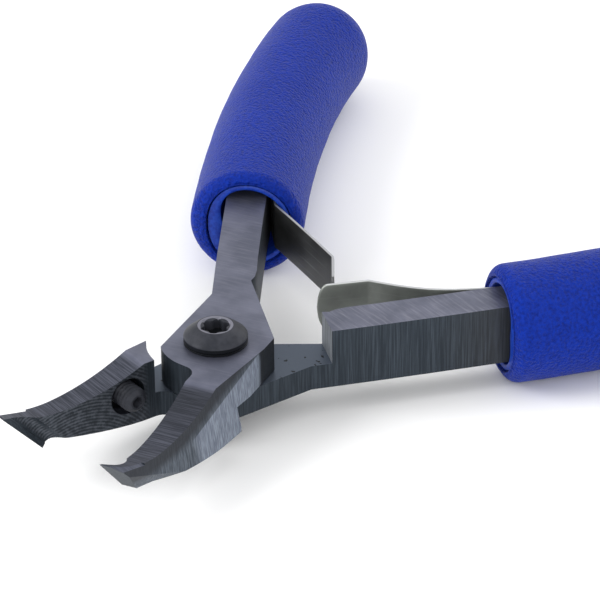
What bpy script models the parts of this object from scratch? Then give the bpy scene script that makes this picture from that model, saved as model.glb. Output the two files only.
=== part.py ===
"""Flush cut pliers with angled jaws, foam grips and a pair of return leaf springs.

Every sub-part is modelled in the pose where the jaws are shut: the pivot axis is
the Z axis, the tips point to -Y, and z = 0 is the underside of the levers. Two
empties on the pivot axis then turn the halves apart to the resting, open pose.
Lengths below are millimetres; MM turns them into Blender's metres.
"""

import math

import bmesh
import bpy
from mathutils import Matrix, Vector

MM = 0.001

# Levers
THICKNESS = 9.6            # both levers, underside to top face
OPEN_HALF_ANGLE = math.radians(14.5)   # each half, turned from shut to rest
LAP_TOP = 4.05             # top of the lower lever's lap plate
LAP_GAP = 0.15             # between the two lap plates
BAR_WIDTH = 6.35           # handle bar, across
BAR_START = (5.1, 16.5)    # centre of the bar where it leaves the joint
BAR_SLOPE = 0.40           # sideways run of the bar for each mm to the rear
BAR_SLOPE_LOSS = 0.34      # how much of that slope is gone at the handle's end
BAR_STRAIGHT_TO = 30.0
BAR_END = 102.4
PLATE_SIDE = 6.75          # straight side of the joint plate under the handle
PLATE_CORNER = (7.45, 4.3)     # corner of the joint plate on the jaw's side
WAIST = (-3.1, 18.5)       # where the plate's diagonal meets the bar
RECESS_RADIUS = 8.2        # front edge of a lap plate, round the pivot
JAW_HEEL_RADIUS = 10.3     # rear wall of a jaw, round the pivot
STEP_POINT = (-2.7, 17.5)  # inner end of the step from the lap plate to the bar

# Jaws
EDGE_TOP = (-36.75, 9.75)      # y, z of the cutting edge's upper end
EDGE_BOTTOM = (-30.45, 2.65)   # and of its lower end
EDGE_LAND = 0.03           # from the closing plane to the edge itself
INNER_FACE = 1.0           # inner face of a jaw, from the closing plane
BEND_Y = -11.9             # where the hollow-ground top starts
DISH_LOW = (-26.0, 6.8)    # lowest line of the hollow-ground top, as y, z
DISH_REAR_RADIUS = 36.4
DISH_TIP_RADIUS = 20.5
BELLY_START = -11.5        # underside starts to rise towards the tip here
BELLY_END = -28.0
BELLY_RISE = 2.65
TIP_BLOCK = 4.5            # size of the cutter that bevels the top of the tip
STOP_POCKET_RADIUS = 2.9
STOP_POCKET_SHIFT = (-0.5, 0.35)   # of the pocket from the screw, forwards and up
STOP_POCKET_DEPTH = 3.2    # from the closing plane to the pocket's floor

# Screws
PIVOT_RADIUS = 2.5
HEAD_RADIUS = 4.75
HEAD_HEIGHT = 2.35
WASHER_HEIGHT = 0.4
RUNNING_GAP = 0.06
STOP_RADIUS = 2.0
STOP_CHAMFER = 0.8
STOP_Y = -14.5
STOP_Z = 4.8
STOP_REACH = 0.85          # past the closing plane, towards the other jaw
STOP_LENGTH = 6.0

# Springs
LEAF_THICKNESS = 0.4
LEAF_LOW = 0.9
LEAF_HIGH = 8.7
LEAF_HINGE = (10.9, 43.7)  # where a leaf leaves its bar, in its half's frame
ROOT_FROM = 45.0
ROOT_TO = 58.0
ROOT_GAP = 0.3             # between a leaf's root and the bar
RIVET_Y = 53.0

# Grips
GRIP_MOUTH = 42.0          # y of the mouth on the bar's centre line
GRIP_END = 111.0
GRIP_RADIUS = 9.2
FOAM_BORE = 7.5
LINER_RADIUS = 7.25
LINER_BORE = 6.3
LINER_END = 108.3


def clear_scene():
    for obj in list(bpy.data.objects):
        bpy.data.objects.remove(obj, do_unlink=True)


def new_collection(name, hidden=False):
    collection = bpy.data.collections.new(name)
    bpy.context.scene.collection.children.link(collection)
    collection.hide_render = hidden
    return collection


def new_material(name, colour, roughness, metallic):
    material = bpy.data.materials.new(name)
    material.use_nodes = True
    shader = material.node_tree.nodes["Principled BSDF"]
    shader.inputs["Base Color"].default_value = (*colour, 1.0)
    shader.inputs["Roughness"].default_value = roughness
    shader.inputs["Metallic"].default_value = metallic
    return material


# ---------------------------------------------------------------- mesh helpers

def settle(mesh):
    """Weld a new mesh's loose caps and point its faces outwards."""
    bm = bmesh.new()
    bm.from_mesh(mesh)
    bmesh.ops.remove_doubles(bm, verts=bm.verts, dist=1e-6)
    bmesh.ops.recalc_face_normals(bm, faces=bm.faces)
    bm.to_mesh(mesh)
    bm.free()


def curve_to_mesh(curve_object, collection):
    """The curve as a welded mesh object in the same place; the curve is removed."""
    bpy.context.view_layer.update()
    graph = bpy.context.evaluated_depsgraph_get()
    mesh = bpy.data.meshes.new_from_object(curve_object.evaluated_get(graph))
    settle(mesh)
    name = curve_object.name
    matrix = curve_object.matrix_world.copy()
    bpy.data.objects.remove(curve_object, do_unlink=True)
    obj = bpy.data.objects.new(name, mesh)
    obj.matrix_world = matrix
    collection.objects.link(obj)
    return obj


def prism(name, outline, low, high, collection, turn=None):
    """A flat outline extruded from low to high, then turned into place."""
    curve = bpy.data.curves.new(name, "CURVE")
    curve.dimensions = "2D"
    curve.fill_mode = "BOTH"
    curve.extrude = (high - low) / 2 * MM
    spline = curve.splines.new("POLY")
    spline.points.add(len(outline) - 1)
    for point, (x, y) in zip(spline.points, outline):
        point.co = (x * MM, y * MM, 0.0, 1.0)
    spline.use_cyclic_u = True
    obj = bpy.data.objects.new(name, curve)
    bpy.context.scene.collection.objects.link(obj)
    lift = Matrix.Translation((0.0, 0.0, (low + high) / 2 * MM))
    obj.matrix_world = (turn or Matrix.Identity(4)) @ lift
    return curve_to_mesh(obj, collection)


def tube(name, points, radii, sides, collection):
    """A round bar along a list of points, with its own radius at each point."""
    curve = bpy.data.curves.new(name, "CURVE")
    curve.dimensions = "3D"
    curve.bevel_depth = MM
    curve.bevel_resolution = sides // 2 - 2
    curve.use_fill_caps = True
    spline = curve.splines.new("POLY")
    spline.points.add(len(points) - 1)
    for point, (x, y, z), radius in zip(spline.points, points, radii):
        point.co = (x * MM, y * MM, z * MM, 1.0)
        point.radius = radius
    obj = bpy.data.objects.new(name, curve)
    bpy.context.scene.collection.objects.link(obj)
    return curve_to_mesh(obj, collection)


def turned(name, profile, steps, collection):
    """A profile of (radius, z) points, outer side from the top down, spun round Z."""
    mesh = bpy.data.meshes.new(name)
    points = [(radius * MM, 0.0, z * MM) for radius, z in profile]
    edges = [(i, i + 1) for i in range(len(points) - 1)]
    mesh.from_pydata(points, edges, [])
    obj = bpy.data.objects.new(name, mesh)
    collection.objects.link(obj)
    screw = obj.modifiers.new("spin", "SCREW")
    screw.steps = steps
    screw.render_steps = steps
    screw.use_merge_vertices = True
    screw.merge_threshold = 0.000001
    return obj


def baked(obj):
    """The object with its modifiers applied, so that it can be cut or turned."""
    bpy.context.view_layer.update()
    graph = bpy.context.evaluated_depsgraph_get()
    mesh = bpy.data.meshes.new_from_object(obj.evaluated_get(graph))
    settle(mesh)
    obj.modifiers.clear()
    obj.data = mesh
    return obj


def boolean(target, other, operation="DIFFERENCE"):
    """Cut other from target, or join them; other becomes a helper."""
    for collection in other.users_collection:
        collection.objects.unlink(other)
    cutters.objects.link(other)
    other.hide_render = True
    other.display_type = "WIRE"
    modifier = target.modifiers.new(other.name, "BOOLEAN")
    modifier.operation = operation
    modifier.solver = "MANIFOLD"  # the exact solver leaves open edges at the bores
    modifier.object = other


def finish(obj, half, material, smooth_angle=30.0):
    """Hang a modelled part on its half and give it its material."""
    obj.data.materials.clear()
    obj.data.materials.append(material)
    obj.data.shade_smooth()
    obj.data.set_sharp_from_angle(angle=math.radians(smooth_angle))
    obj.parent = half
    for modifier in obj.modifiers:
        if modifier.type == "BOOLEAN":
            modifier.object.parent = half
    return obj


def arc(centre, radius, start, end, count):
    """Points on a circle between two angles in degrees, both ends included."""
    points = []
    for i in range(count + 1):
        angle = math.radians(start + (end - start) * i / count)
        x = centre[0] + radius * math.cos(angle)
        y = centre[1] + radius * math.sin(angle)
        points.append((x, y))
    return points


def along_x():
    """Turns an outline drawn as (y, z) into a prism whose length runs along X."""
    return Matrix(((0, 0, 1, 0), (1, 0, 0, 0), (0, 1, 0, 0), (0, 0, 0, 1)))


def facing(point, normal):
    """A frame at the point whose X axis is the normal."""
    x = Vector(normal).normalized()
    y = Vector((0, 0, 1)).cross(x).normalized()
    z = x.cross(y)
    turn = Matrix((x, y, z)).transposed().to_4x4()
    return Matrix.Translation(Vector(point) * MM) @ turn


def half_space(name, point, normal, side, size=40.0):
    """A block that fills everything near the point on the normal's side of a plane."""
    px, py, pz = point
    nx, ny, nz = normal
    block = [(0, -size), (size, -size), (size, size), (0, size)]
    turn = facing((side * px, py, pz), (side * nx, ny, nz))
    return prism(name, block, -size, size, cutters, turn)


# ---------------------------------------------------------------- handle line

def bar_slope(y):
    """Sideways run of the handle's centre line for each mm to the rear."""
    if y <= BAR_STRAIGHT_TO:
        return BAR_SLOPE
    share = (y - BAR_STRAIGHT_TO) / (GRIP_END - BAR_STRAIGHT_TO)
    return BAR_SLOPE - BAR_SLOPE_LOSS * share ** 1.5


def bar_x(y):
    """How far the centre line stands off the closing plane, by small steps."""
    x, at = BAR_START
    step = 0.25 if y > at else -0.25
    while abs(y - at) > 1e-9:
        move = step if abs(y - at) > abs(step) else y - at
        x += bar_slope(at + move / 2) * move
        at += move
    return x


def beside_bar(y, offset):
    """A point level with y on the centre line, offset outwards, square to it."""
    slope = bar_slope(y)
    length = math.hypot(1.0, slope)
    return bar_x(y) + offset / length, y - offset * slope / length


# ---------------------------------------------------------------- levers

def lever_outline(side):
    """Seen from above, jaw on the side given and handle on the other."""
    half_width = BAR_WIDTH / 2
    corner_y = 12.4
    bar_ys = [24 + 6.0 * i for i in range(13)] + [BAR_END]
    outer = [beside_bar(y, half_width) for y in bar_ys]
    inner = [beside_bar(y, -half_width) for y in reversed(bar_ys)]
    outline = [(INNER_FACE, -22.0), (INNER_FACE, -11.0)]
    outline += arc((INNER_FACE - 2.1, -10.3), 2.1, 0, 72, 5)
    outline += arc((0, 0), RECESS_RADIUS, -101, -141, 7)
    outline += [(-PLATE_SIDE, -4.6), (-PLATE_SIDE, corner_y)]
    outline += [(-x, y) for x, y in outer]
    outline += [(-x, y) for x, y in inner]
    outline += [(-3.6, 21.6), (-3.1, 19.8), WAIST]
    outline += [PLATE_CORNER, (PLATE_CORNER[0], -40.0), (EDGE_LAND, -40.0)]
    outline += [(EDGE_LAND, -22.0)]
    return [(side * x, y) for x, y in outline]


def lap_outline(side):
    """What the other lever's lap plate sweeps: round the pivot, up to the step."""
    square = (BAR_SLOPE, 1.0)
    reach = 14.0
    x, y = STEP_POINT
    outline = arc((0, 0), JAW_HEEL_RADIUS, 180, 360, 36)
    outline += [(reach, 0), (reach, y + (reach - x) * square[0])]
    outline += [(-reach, y + (-reach - x) * square[0]), (-reach, 0)]
    return [(side * a, b) for a, b in outline]


def dish_outline():
    """The hollow grind over a jaw as (y, z): two arcs that meet at its low line."""
    y, z = DISH_LOW
    rear_turn = math.degrees(math.asin((BEND_Y + 0.6 - y) / DISH_REAR_RADIUS))
    tip_turn = 40.0
    rear = arc((y, z + DISH_REAR_RADIUS), DISH_REAR_RADIUS, -90 + rear_turn, -90, 16)
    tip = arc((y, z + DISH_TIP_RADIUS), DISH_TIP_RADIUS, -90, -90 - tip_turn, 18)
    return rear + tip[1:] + [(y - 15, 16.0), (BEND_Y + 0.6, 16.0)]


def belly_outline():
    """What is ground off under a jaw as (y, z): the underside rises to the tip."""
    run = BELLY_START - BELLY_END
    curve = []
    for i in range(11):
        share = i / 10
        curve.append((BELLY_START - run * share, BELLY_RISE * share ** 1.6 - 0.02))
    return curve + [(-42.0, BELLY_RISE), (-42.0, -4.0), (BELLY_START, -4.0)]


def blade_outline():
    """In front of the flush face, and the relief behind the edge, as (p, x).

    p runs square to the flush face, from the cutting edge back into the jaw.
    """
    relief = [(0.0, EDGE_LAND), (0.75, 0.95)]
    relief += arc((1.85, 0.25), 1.38, 135, 36, 7)
    relief += [(3.3, INNER_FACE - 0.02), (12.0, INNER_FACE - 0.02)]
    relief += [(12.0, -6.0), (-15.0, -6.0)]
    return relief + [(-15.0, 12.0), (0.0, 12.0)]


def blade_frame(side):
    """Along p, sideways and along the cutting edge, with its origin on the edge."""
    run = Vector((0.0, EDGE_BOTTOM[0] - EDGE_TOP[0], EDGE_BOTTOM[1] - EDGE_TOP[1]))
    edge = run.normalized()
    back = Vector((1.0, 0.0, 0.0)).cross(edge)
    sideways = Vector((side, 0.0, 0.0))
    length = back.cross(sideways)
    turn = Matrix((back, sideways, length)).transposed().to_4x4()
    origin = Vector((0.0, EDGE_TOP[0], EDGE_TOP[1])) * MM
    return Matrix.Translation(origin) @ turn


def grind_jaw(lever, side, name):
    """The cuts that both jaws share."""
    dish = prism(name + "_dish", dish_outline(), -20, 20, cutters, along_x())
    boolean(lever, dish)
    belly = prism(name + "_belly", belly_outline(), -20, 20, cutters, along_x())
    boolean(lever, belly)
    flank_point = (5.9, BEND_Y, THICKNESS)
    boolean(lever, half_space(name + "_flank", flank_point, (0.987, -0.119, 0.108), side))
    under_point = (3.3, -33.5, 6.2)
    boolean(lever, half_space(name + "_under", under_point, (0.769, -0.372, -0.521), side))
    crown_point = (3.1, -35.6, 8.5)
    crown_normal = (0.528, 0.167, 0.833)
    boolean(lever, half_space(name + "_crown", crown_point, crown_normal, side, TIP_BLOCK))
    frame = blade_frame(side)
    blade = prism(name + "_blade", blade_outline(), -30, 30, cutters, frame)
    boolean(lever, blade)


def drill(lever, name, centre, radius, low, high, turn=None, steps=40):
    """A round hole along Z, or along another axis with a turn."""
    outline = arc(centre, radius, 0, 360, steps)[:-1]
    boolean(lever, prism(name, outline, low, high, cutters, turn))


def rivet_hole(lever, side, name):
    """A blind hole in the bar's inner face for the leaf spring's rivet."""
    x, y = beside_bar(RIVET_Y, -BAR_WIDTH / 2)
    slope = bar_slope(RIVET_Y)
    turn = facing((-side * x, y, THICKNESS / 2), (-side, -slope, 0.0))
    swing = Matrix.Rotation(math.radians(90), 4, "Y")
    drill(lever, name, (0, 0), 1.0 + RUNNING_GAP, -3.2, 4.0, turn @ swing, 16)


def make_upper_lever(half, material):
    lever = prism("lever_upper", lever_outline(1), 0, THICKNESS, parts)
    lap_floor = LAP_TOP + LAP_GAP
    drill(lever, "upper_bore", (0, 0), PIVOT_RADIUS + RUNNING_GAP, -2, 12)
    boolean(lever, prism("upper_lap", lap_outline(1), -3, lap_floor, cutters))
    grind_jaw(lever, 1, "upper")
    rivet_hole(lever, 1, "upper_rivet_hole")
    return finish(lever, half, material)


def make_lower_lever(half, material):
    lever = prism("lever_lower", lever_outline(-1), 0, THICKNESS, parts)
    drill(lever, "lower_bore", (0, 0), PIVOT_RADIUS + RUNNING_GAP, -2, 12)
    boolean(lever, prism("lower_lap", lap_outline(-1), LAP_TOP, 13, cutters))
    grind_jaw(lever, -1, "lower")
    rivet_hole(lever, -1, "lower_rivet_hole")
    pocket = (STOP_Y + STOP_POCKET_SHIFT[0], STOP_Z + STOP_POCKET_SHIFT[1])
    floor = -STOP_POCKET_DEPTH
    drill(lever, "stop_pocket", pocket, STOP_POCKET_RADIUS, floor, 4, along_x(), 32)
    hole = (STOP_Y, STOP_Z)
    drill(lever, "stop_hole", hole, STOP_RADIUS + RUNNING_GAP, -9, 4, along_x(), 24)
    return finish(lever, half, material)


# ---------------------------------------------------------------- screws

def six_lobe(radius, depth_of_lobe, count):
    """The star of a six-lobe socket: a circle whose radius swells six times."""
    points = []
    for i in range(count):
        angle = 2 * math.pi * i / count
        r = radius + depth_of_lobe * math.cos(6 * angle)
        points.append((r * math.cos(angle), r * math.sin(angle)))
    return points


def make_pivot_screw(half, material):
    """Button-head screw with a six-lobe socket, flush with the underside."""
    seat = THICKNESS + WASHER_HEIGHT + 0.05
    top = seat + HEAD_HEIGHT
    rim = seat + 0.7
    profile = [(0.0, top), (2.7, top)]
    for i in range(1, 9):
        share = i / 8
        swell = 0.28 * math.sin(math.pi * share)
        profile.append((2.7 + (HEAD_RADIUS - 2.7) * share + swell * 0.6,
                        top + (rim - top) * share + swell))
    profile += [(HEAD_RADIUS, seat), (PIVOT_RADIUS, seat)]
    profile += [(PIVOT_RADIUS, 0.3), (PIVOT_RADIUS - 0.3, 0.0), (0.0, 0.0)]
    screw = baked(turned("pivot_screw", profile, 48, parts))
    socket = prism("socket", six_lobe(1.95, 0.24, 48), top - 1.9, top + 1, cutters)
    boolean(screw, socket)
    return finish(screw, half, material)


def make_pivot_washer(half, material):
    low = THICKNESS + 0.02
    high = THICKNESS + WASHER_HEIGHT
    inner = PIVOT_RADIUS + RUNNING_GAP
    profile = [(inner, high), (HEAD_RADIUS, high), (HEAD_RADIUS, low)]
    profile += [(inner, low), (inner, high)]
    return finish(baked(turned("pivot_washer", profile, 48, parts)), half, material)


def make_stop_screw(half, material):
    """Set screw across the lower lever's jaw; its end meets the other jaw."""
    chamfer = STOP_CHAMFER
    profile = [(0.0, 0.0), (STOP_RADIUS - chamfer, 0.0), (STOP_RADIUS, -chamfer)]
    profile += [(STOP_RADIUS, chamfer - STOP_LENGTH)]
    profile += [(STOP_RADIUS - chamfer, -STOP_LENGTH), (0.0, -STOP_LENGTH)]
    screw = baked(turned("stop_screw", profile, 24, parts))
    hexagon = arc((0, 0), 0.75 / math.cos(math.radians(30)), 0, 360, 6)[:-1]
    boolean(screw, prism("stop_socket", hexagon, -1.6, 1.0, cutters))
    bpy.context.view_layer.update()
    baked(screw)
    turn = Matrix.Rotation(math.radians(90), 4, "Y")
    place = Matrix.Translation(Vector((STOP_REACH, STOP_Y, STOP_Z)) * MM)
    screw.data.transform(place @ turn)
    return finish(screw, half, material)


# ---------------------------------------------------------------- leaf springs

def strip_outline(path, thickness):
    """A strip seen from above: the path offset half the thickness to each side."""
    left = []
    right = []
    for i, (x, y) in enumerate(path):
        before = Vector(path[max(i - 1, 0)])
        after = Vector(path[min(i + 1, len(path) - 1)])
        along = (after - before).normalized()
        across = Vector((-along.y, along.x)) * thickness / 2
        left.append((x + across.x, y + across.y))
        right.append((x - across.x, y - across.y))
    return left + right[::-1]


def leaf_path(bow, bend, tip):
    """From the hinge to the bend in a shallow bow, then straight to the tip."""
    path = []
    start = Vector(LEAF_HINGE)
    to_bend = Vector(bend) - start
    across = Vector((to_bend.y, -to_bend.x)).normalized()
    for i in range(9):
        share = i / 8
        point = start + to_bend * share + across * bow * math.sin(math.pi * share)
        path.append((point.x, point.y))
    for i in range(1, 5):
        point = Vector(bend).lerp(Vector(tip), i / 4)
        path.append((point.x, point.y))
    return path


def make_leaf_blade(name, half, side, bow, bend, tip, material):
    """The free part of a leaf spring, with a round end."""
    path = leaf_path(bow, bend, tip)
    outline = [(-side * x, y) for x, y in strip_outline(path, LEAF_THICKNESS)]
    blade = prism(name, outline, LEAF_LOW, LEAF_HIGH, parts)
    middle = (LEAF_LOW + LEAF_HIGH) / 2
    height = (LEAF_HIGH - LEAF_LOW) / 2
    # The end is rounded by two corner pieces, each outside a quarter circle.
    flange = (Vector(tip) - Vector(bend)).normalized()
    end_x, end_y = tip
    normal = (-side * flange.x, flange.y, 0.0)
    frame = facing((-side * end_x, end_y, middle), normal)
    sign = 1 if (frame.to_3x3() @ Vector((0, 0, 1))).z > 0 else -1
    for corner in (1, -1):
        quarter = arc((-height, 0), height, 0, 90, 10)
        quarter = [(a, corner * sign * b) for a, b in quarter]
        rim = [(-height, corner * sign * (height + 2)), (2.0, corner * sign * (height + 2))]
        rim += [(2.0, 0.0)]
        lay = frame @ Matrix.Rotation(math.radians(90), 4, "X")
        piece = prism(f"{name}_corner_{corner}", quarter + rim, -6, 6, cutters, lay)
        boolean(blade, piece)
    return finish(blade, half, material)


def make_leaf_root(name, half, side, material):
    """The clamped end of a leaf spring, along the bar inside the grip."""
    offset = -(BAR_WIDTH / 2 + ROOT_GAP + LEAF_THICKNESS / 2)
    ys = [ROOT_FROM + (ROOT_TO - ROOT_FROM) * i / 5 for i in range(6)]
    path = [beside_bar(y, offset) for y in ys]
    outline = [(-side * x, y) for x, y in strip_outline(path, LEAF_THICKNESS)]
    root = prism(name, outline, LEAF_LOW, LEAF_HIGH, parts)
    x, y = beside_bar(RIVET_Y, offset)
    turn = facing((-side * x, y, THICKNESS / 2), (-side, -bar_slope(RIVET_Y), 0.0))
    swing = Matrix.Rotation(math.radians(90), 4, "Y")
    drill(root, name + "_hole", (0, 0), 1.0 + RUNNING_GAP, -3, 3, turn @ swing, 16)
    return finish(root, half, material)


def make_rivet(name, half, side, material):
    """Domed rivet through the root of a leaf spring into the bar."""
    profile = [(0.0, 0.7), (0.9, 0.62), (1.5, 0.38), (1.8, 0.05)]
    profile += [(1.0, 0.05), (1.0, -3.6), (0.0, -3.6)]
    rivet = baked(turned(name, profile, 20, parts))
    offset = -(BAR_WIDTH / 2 + ROOT_GAP + LEAF_THICKNESS)
    x, y = beside_bar(RIVET_Y, offset)
    turn = facing((-side * x, y, THICKNESS / 2), (side, bar_slope(RIVET_Y), 0.0))
    swing = Matrix.Rotation(math.radians(90), 4, "Y")
    rivet.data.transform(turn @ swing)
    return finish(rivet, half, material)


# ---------------------------------------------------------------- grips

def sweep_stations(first, last, count):
    """Points along the bar's centre line at mid height, from first to last."""
    stations = []
    for i in range(count + 1):
        y = first + (last - first) * i / count
        stations.append((bar_x(y), y, THICKNESS / 2))
    return stations


def rounded(first, last, y, radius, front, rear):
    """A radius that rounds off over front mm at the mouth and rear mm at the end."""
    to_front = (y - first) / front
    to_rear = (last - y) / rear
    if to_front < 1:
        return radius - 1.5 * (1 - math.sqrt(max(0.0, 1 - (1 - to_front) ** 2)))
    if to_rear < 1:
        return radius * max(0.22, math.sqrt(max(0.0, 1 - (1 - to_rear) ** 2)))
    return radius


def sleeve(name, half, side, first, last, radius, bore, bore_end, fronts, material):
    """A closed-ended sleeve round the bar: an outer tube less its bore."""
    front, rear, sides = fronts
    ends = [0.0, 0.12, 0.4, 0.75, 1.0]
    ys = [first + front * share for share in ends]
    body_count = 13
    body_from = first + front
    body_to = last - rear
    ys += [body_from + (body_to - body_from) * i / body_count for i in range(1, body_count)]
    ys += [body_to, last - rear * 0.7, last - rear * 0.42, last - rear * 0.2]
    ys += [last - rear * 0.06, last]
    points = [(-side * bar_x(y), y, THICKNESS / 2) for y in ys]
    radii = [rounded(first, last, y, radius, front, rear) for y in ys]
    outer = tube(name, points, radii, sides, parts)
    # The bore starts outside the mouth, straight along the bar's line there.
    slope = bar_slope(first)
    start = (-side * (bar_x(first) - slope * 4.0), first - 4.0, THICKNESS / 2)
    inner_points = [start] + [(-side * x, y, z) for x, y, z in
                              sweep_stations(first, bore_end, 16)]
    inner_radii = [bore] * (len(inner_points) - 1) + [bore * 0.6]
    bore_tube = tube(name + "_bore", inner_points, inner_radii, sides, cutters)
    boolean(outer, bore_tube)
    return finish(outer, half, material, 40.0)


def make_grip(word, half, side, foam, liner):
    sleeve(f"grip_foam_{word}", half, side, GRIP_MOUTH - 0.6, GRIP_END, GRIP_RADIUS,
           FOAM_BORE, LINER_END + 0.4, (2.6, 8.0, 28), foam)
    sleeve(f"grip_liner_{word}", half, side, GRIP_MOUTH, LINER_END, LINER_RADIUS,
           LINER_BORE, BAR_END + 3.6, (0.8, 5.5, 24), liner)


def main():
    black_top = new_material("black_oxide_steel", (0.10, 0.10, 0.14), 0.42, 0.85)
    screw_black = new_material("black_screw", (0.02, 0.02, 0.025), 0.35, 0.8)
    spring_grey = new_material("spring_steel", (0.33, 0.34, 0.32), 0.38, 0.95)
    foam_blue = new_material("foam_blue", (0.012, 0.03, 0.42), 0.55, 0.0)
    liner_blue = new_material("liner_blue", (0.02, 0.06, 0.5), 0.5, 0.0)

    halves = {}
    for word, turn in (("upper", OPEN_HALF_ANGLE), ("lower", -OPEN_HALF_ANGLE)):
        empty = bpy.data.objects.new(f"{word}_half", None)
        empty.rotation_euler = (0.0, 0.0, turn)
        parts.objects.link(empty)
        halves[word] = empty

    make_upper_lever(halves["upper"], black_top)
    make_lower_lever(halves["lower"], black_top)
    make_pivot_screw(halves["lower"], screw_black)
    make_pivot_washer(halves["lower"], screw_black)
    make_stop_screw(halves["lower"], screw_black)

    # The two leaves rest at slightly different angles: one tip lies on the other.
    leaves = (("upper", 1, 0.0, (-4.35, 31.77), (-7.44, 24.84)),
              ("lower", -1, -0.5, (-2.35, 29.9), (-5.7, 22.7)))
    for word, side, bow, bend, tip in leaves:
        half = halves[word]
        make_leaf_root(f"leaf_root_{word}", half, side, spring_grey)
        make_leaf_blade(f"leaf_blade_{word}", half, side, bow, bend, tip, spring_grey)
        make_rivet(f"leaf_rivet_{word}", half, side, spring_grey)
        make_grip(word, half, side, foam_blue, liner_blue)


clear_scene()
parts = new_collection("flush_cut_pliers")
cutters = new_collection("cutters", hidden=True)
main()
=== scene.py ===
"""Flush cut pliers: the visible surfaces and finishes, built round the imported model.

Laid out as an add-on: each piece has an operator, and its sizes and colours are
properties. Lengths below are millimetres unless a name says otherwise.
"""

import math

import bmesh
import bpy
import numpy as np
from bpy.props import FloatProperty, FloatVectorProperty, PointerProperty
from mathutils import Matrix, Vector


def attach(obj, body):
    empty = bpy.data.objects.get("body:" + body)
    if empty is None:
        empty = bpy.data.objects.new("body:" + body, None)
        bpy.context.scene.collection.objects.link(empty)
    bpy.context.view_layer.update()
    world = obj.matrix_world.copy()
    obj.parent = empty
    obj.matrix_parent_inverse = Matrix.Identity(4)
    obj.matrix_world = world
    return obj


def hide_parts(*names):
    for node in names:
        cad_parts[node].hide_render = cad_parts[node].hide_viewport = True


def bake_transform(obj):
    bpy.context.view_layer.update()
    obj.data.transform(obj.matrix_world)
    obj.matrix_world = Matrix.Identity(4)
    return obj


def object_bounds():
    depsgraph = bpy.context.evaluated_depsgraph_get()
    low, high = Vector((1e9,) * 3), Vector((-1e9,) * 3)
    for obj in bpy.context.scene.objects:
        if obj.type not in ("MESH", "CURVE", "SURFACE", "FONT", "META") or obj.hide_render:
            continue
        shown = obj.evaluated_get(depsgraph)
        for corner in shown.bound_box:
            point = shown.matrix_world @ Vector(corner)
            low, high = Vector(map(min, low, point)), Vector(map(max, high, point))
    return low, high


bl_info = {
    "name": "Flush Cut Pliers",
    "version": (1, 0, 0),
    "blender": (4, 5, 0),
    "location": "View3D > Sidebar > Pliers",
    "description": "Builds the visible surfaces of a pair of flush cut pliers",
    "category": "Object",
}

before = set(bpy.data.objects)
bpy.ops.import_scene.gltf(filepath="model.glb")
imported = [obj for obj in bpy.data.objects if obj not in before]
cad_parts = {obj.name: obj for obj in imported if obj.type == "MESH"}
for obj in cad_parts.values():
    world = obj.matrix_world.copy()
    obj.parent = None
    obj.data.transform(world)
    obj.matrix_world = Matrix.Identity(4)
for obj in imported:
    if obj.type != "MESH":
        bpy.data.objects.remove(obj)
CAD_BOX = [[float(v) for v in corner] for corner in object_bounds()]

MM = 0.001
OPEN_HALF_ANGLE = math.radians(14.5)   # each half, turned from shut to rest
THICKNESS = 9.6
MID_HEIGHT = THICKNESS / 2

# The handle's centre line in a half's own frame, where the jaws are shut.
BAR_START = (5.1, 16.5)
BAR_SLOPE = 0.40
BAR_SLOPE_LOSS = 0.34
BAR_STRAIGHT_TO = 30.0
BAR_SLOPE_RUN = 81.0
BAR_WIDTH = 6.35

GRIP_MOUTH = 41.4
GRIP_LENGTH = 73.3
HEAD_RADIUS = 4.75
WASHER_TOP = 10.0

SIDES = {"upper": 1, "lower": -1}      # the upper half's handle is at -X


# ---------------------------------------------------------------- meshes

def bar_slope(y):
    """Sideways run of the bar for each mm to the rear, falling off as a 1.5 power."""
    past = np.maximum(y - BAR_STRAIGHT_TO, 0.0) / BAR_SLOPE_RUN
    return BAR_SLOPE - BAR_SLOPE_LOSS * past ** 1.5


def centre_line(distance):
    """Points and unit tangents of the bar's centre line at distances from the grip's mouth.

    x is the running integral of the slope over y, and distance its arc length.
    """
    y = np.linspace(BAR_START[1], 122.0, 3000)
    slope = bar_slope(y)
    step = np.diff(y)
    x = BAR_START[0] + np.concatenate([[0], np.cumsum((slope[1:] + slope[:-1]) / 2 * step)])
    arc = np.concatenate([[0], np.cumsum(np.hypot(np.diff(x), step))])
    arc -= np.interp(GRIP_MOUTH, y, arc)
    at_y = np.interp(distance, arc, y)
    points = np.stack([np.interp(distance, arc, x), at_y], -1)
    tangents = np.stack([bar_slope(at_y), np.ones_like(at_y)], -1)
    return points, tangents / np.linalg.norm(tangents, axis=-1, keepdims=True)


def to_world(points, word):
    """From a half's own frame to the open rest pose: mirror the upper half, then turn."""
    side = SIDES[word]
    points = np.array(points, float)
    points[..., 0] *= -side
    c, s = math.cos(side * OPEN_HALF_ANGLE), math.sin(side * OPEN_HALF_ANGLE)
    x = points[..., 0] * c - points[..., 1] * s
    y = points[..., 0] * s + points[..., 1] * c
    return np.stack([x, y, points[..., 2]], -1)


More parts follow.
